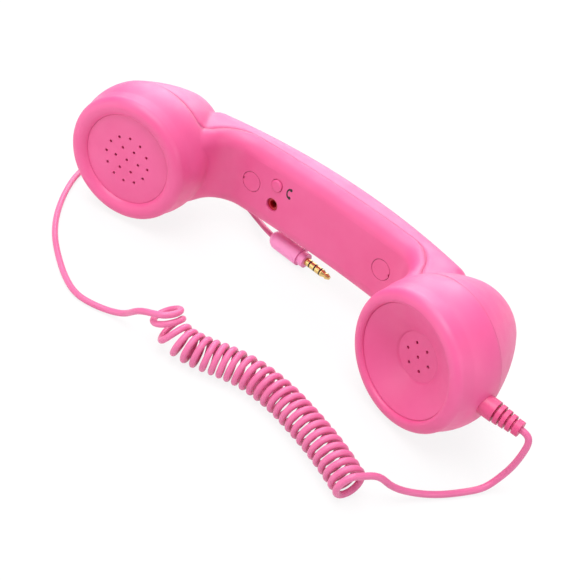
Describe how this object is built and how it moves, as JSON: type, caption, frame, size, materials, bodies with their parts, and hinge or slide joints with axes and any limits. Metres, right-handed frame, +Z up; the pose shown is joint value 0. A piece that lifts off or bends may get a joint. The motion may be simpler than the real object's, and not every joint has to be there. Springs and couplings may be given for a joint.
{
  "type": "telephone handset with curly cord",
  "caption": "Retro telephone handset with a round earpiece and a conical mouthpiece, an answer button, and a curly cord that ends in a small jack plug for a mobile phone.",
  "frame": {"origin": "on the floor under the middle of the handset's box, without its cord and strain relief", "axes": "+X from the earpiece to the mouthpiece, +Y from the grilles to the grip's back, +Z up; the handset lies on its side as in the picture"},
  "size_m": [0.2437, 0.1129, 0.0595],
  "materials": {
    "casing": "soft-touch matte pink",
    "cord": "satin pink",
    "contact": "polished gold",
    "black_plastic": "matte black",
    "switch_plunger": "matte white",
    "cloth": "woven dark grey",
    "rubber": "matte black",
    "steel": "satin",
    "film": "thin clear-grey film",
    "copper": "bare copper",
    "board": "green resist",
    "wire": "satin red"
  },
  "bodies": {
    "handset": {"front_shell": "casing", "back_shell": "casing", "earpiece_grille": "casing", "mouthpiece_cup": "casing", "screw_caps": "casing", "strain_relief": "cord", "cord_lead_handset": "cord", "cord_coil": "cord", "cord_lead_plug": "cord", "plug_body": "cord", "plug_collar": "cord", "cord_tail": "cord", "plug_sleeve": "contact", "plug_ring_back": "contact", "plug_ring_front": "contact", "plug_tip": "contact", "plug_insulators": "black_plastic", "jack_socket": "black_plastic", "switch_body": "black_plastic", "speaker_frame": "black_plastic", "ear_screen": "cloth", "speaker_gasket": "rubber", "microphone_boot": "rubber", "speaker_magnet": "steel", "shell_screws": "steel", "board_screws": "steel", "microphone_capsule": "steel", "cord_anchor": "steel", "circuit_board": "board", "speaker_wires": "wire", "microphone_wires": "wire"},
    "button": {"answer_button": "casing"},
    "plunger": {"switch_plunger": "switch_plunger"},
    "cone": {"speaker_diaphragm": "film", "voice_coil": "copper"}
  },
  "joints": [
    {"name": "button_press", "type": "slide", "parent": "handset", "child": "button", "axis": [0, 1, 0], "range_m": [0, 0.0004], "stiffness_N_per_m": 1500},
    {"name": "plunger_press", "type": "slide", "parent": "handset", "child": "plunger", "axis": [0, 1, 0], "range_m": [0, 0.00025]},
    {"name": "cone_stroke", "type": "slide", "parent": "handset", "child": "cone", "axis": [-0.2334, 0.9724, 0], "range_m": [-0.0003, 0.0003], "stiffness_N_per_m": 800}
  ],
  "couplings": [
    {"joint": "plunger_press", "follows": "button_press", "ratio": 0.625}
  ]
}
